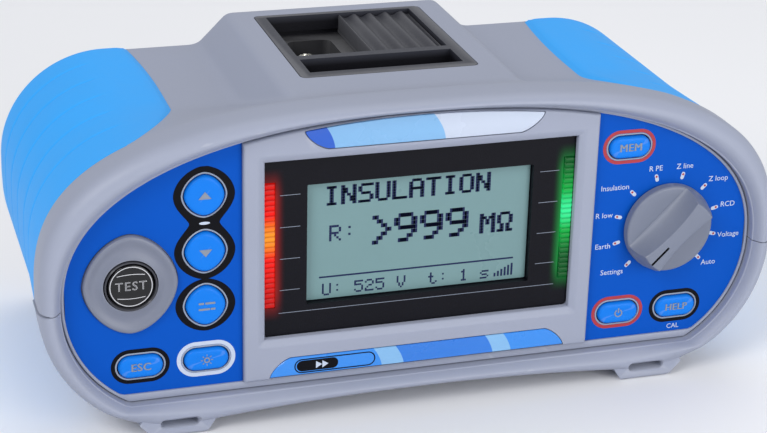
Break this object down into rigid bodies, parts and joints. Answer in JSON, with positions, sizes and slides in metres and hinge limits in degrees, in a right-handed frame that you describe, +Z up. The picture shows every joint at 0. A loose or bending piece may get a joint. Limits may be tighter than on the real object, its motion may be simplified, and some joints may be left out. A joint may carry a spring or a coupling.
{
  "type": "insulation resistance tester",
  "caption": "Wide portable installation tester with rounded grey case, blue side covers, display, keypad, rotary function selector and a top connector panel with a sliding shutter.",
  "frame": {"origin": "on the table under the middle of the instrument's box", "axes": "+X to the instrument's right seen from the front, +Y from the front panel to the rear, +Z up"},
  "size_m": [0.231, 0.1146, 0.1002],
  "materials": {
    "case_grey": "fine-textured grey ABS moulding",
    "cover_blue": "soft-touch sky blue overmould with shallow grooves",
    "foil_blue": "satin printed keypad foil",
    "key_blue": "silicone key caps with printed legends",
    "black_plastic": "fine-textured black moulding",
    "gloss_black": "polished black",
    "knob_grey": "satin dark grey moulding",
    "lcd": "grey liquid crystal behind a polished cover",
    "white_plastic": "diffusing white",
    "red_bar": "translucent red light guide",
    "green_bar": "translucent green light guide",
    "board_green": "solder mask over glass fibre",
    "steel": "zinc-plated",
    "nickel": "nickel-plated",
    "cell_sleeve": "shrink sleeve",
    "fuse_ceramic": "glazed tube with metal caps",
    "badge": "printed film under clear coat",
    "label": "matt label stock"
  },
  "bodies": {
    "case": {"upper_case": "case_grey", "lower_case": "case_grey", "front_panel": "case_grey", "test_key_surround": "case_grey", "battery_cover": "case_grey", "left_side_cover": "cover_blue", "right_side_cover": "cover_blue", "left_keypad_foil": "foil_blue", "right_keypad_foil": "foil_blue", "display_mask": "black_plastic", "test_key_bezel": "black_plastic", "rotary_switch": "black_plastic", "connector_panel": "black_plastic", "test_socket": "black_plastic", "charger_socket": "black_plastic", "serial_socket": "black_plastic", "converter_transformer": "black_plastic", "buzzer": "black_plastic", "battery_tub": "black_plastic", "battery_holder": "black_plastic", "lcd_module": "lcd", "lcd_backlight": "white_plastic", "fuse_holder": "white_plastic", "red_light_bar": "red_bar", "green_light_bar": "green_bar", "front_board": "board_green", "main_board": "board_green", "connector_board": "board_green", "usb_socket": "steel", "case_screw_1": "steel", "case_screw_2": "steel", "case_screw_3": "steel", "case_screw_4": "steel", "battery_cover_screw_1": "steel", "battery_cover_screw_2": "steel", "test_contact": "nickel", "battery_cell_1": "cell_sleeve", "battery_cell_2": "cell_sleeve", "battery_cell_3": "cell_sleeve", "battery_cell_4": "cell_sleeve", "battery_cell_5": "cell_sleeve", "battery_cell_6": "cell_sleeve", "fuse_1": "fuse_ceramic", "fuse_2": "fuse_ceramic", "fuse_3": "fuse_ceramic", "top_badge": "badge", "bottom_badge": "badge", "rear_label": "label"},
    "up_key_body": {"up_key": "key_blue"},
    "down_key_body": {"down_key": "key_blue"},
    "tab_key_body": {"tab_key": "key_blue"},
    "backlight_key_body": {"backlight_key": "key_blue"},
    "escape_key_body": {"escape_key": "key_blue"},
    "memory_key_body": {"memory_key": "key_blue"},
    "power_key_body": {"power_key": "key_blue"},
    "help_key_body": {"help_key": "key_blue"},
    "test_key_body": {"test_key": "gloss_black"},
    "selector": {"selector_knob": "knob_grey", "selector_shaft": "steel"},
    "shutter": {"sliding_cover": "black_plastic"}
  },
  "joints": [
    {"name": "up_key_press", "type": "slide", "parent": "case", "child": "up_key_body", "axis": [0, 1, 0], "range_m": [0, 0.001], "stiffness_N_per_m": 600},
    {"name": "down_key_press", "type": "slide", "parent": "case", "child": "down_key_body", "axis": [0, 1, 0], "range_m": [0, 0.001], "stiffness_N_per_m": 600},
    {"name": "tab_key_press", "type": "slide", "parent": "case", "child": "tab_key_body", "axis": [0, 1, 0], "range_m": [0, 0.001], "stiffness_N_per_m": 600},
    {"name": "backlight_key_press", "type": "slide", "parent": "case", "child": "backlight_key_body", "axis": [0, 1, 0], "range_m": [0, 0.001], "stiffness_N_per_m": 600},
    {"name": "escape_key_press", "type": "slide", "parent": "case", "child": "escape_key_body", "axis": [0, 1, 0], "range_m": [0, 0.001], "stiffness_N_per_m": 600},
    {"name": "memory_key_press", "type": "slide", "parent": "case", "child": "memory_key_body", "axis": [0, 1, 0], "range_m": [0, 0.001], "stiffness_N_per_m": 600},
    {"name": "power_key_press", "type": "slide", "parent": "case", "child": "power_key_body", "axis": [0, 1, 0], "range_m": [0, 0.001], "stiffness_N_per_m": 600},
    {"name": "help_key_press", "type": "slide", "parent": "case", "child": "help_key_body", "axis": [0, 1, 0], "range_m": [0, 0.001], "stiffness_N_per_m": 600},
    {"name": "test_key_press", "type": "slide", "parent": "case", "child": "test_key_body", "axis": [0, 1, 0], "range_m": [0, 0.0012], "stiffness_N_per_m": 600},
    {"name": "selector_turn", "type": "hinge", "parent": "case", "child": "selector", "pos_m": [0.0804, -0.04715, 0.051], "axis": [0, 1, 0], "range_deg": [0, 270]},
    {"name": "shutter_slide", "type": "slide", "parent": "case", "child": "shutter", "axis": [-1, 0, 0], "range_m": [0, 0.024]}
  ]
}
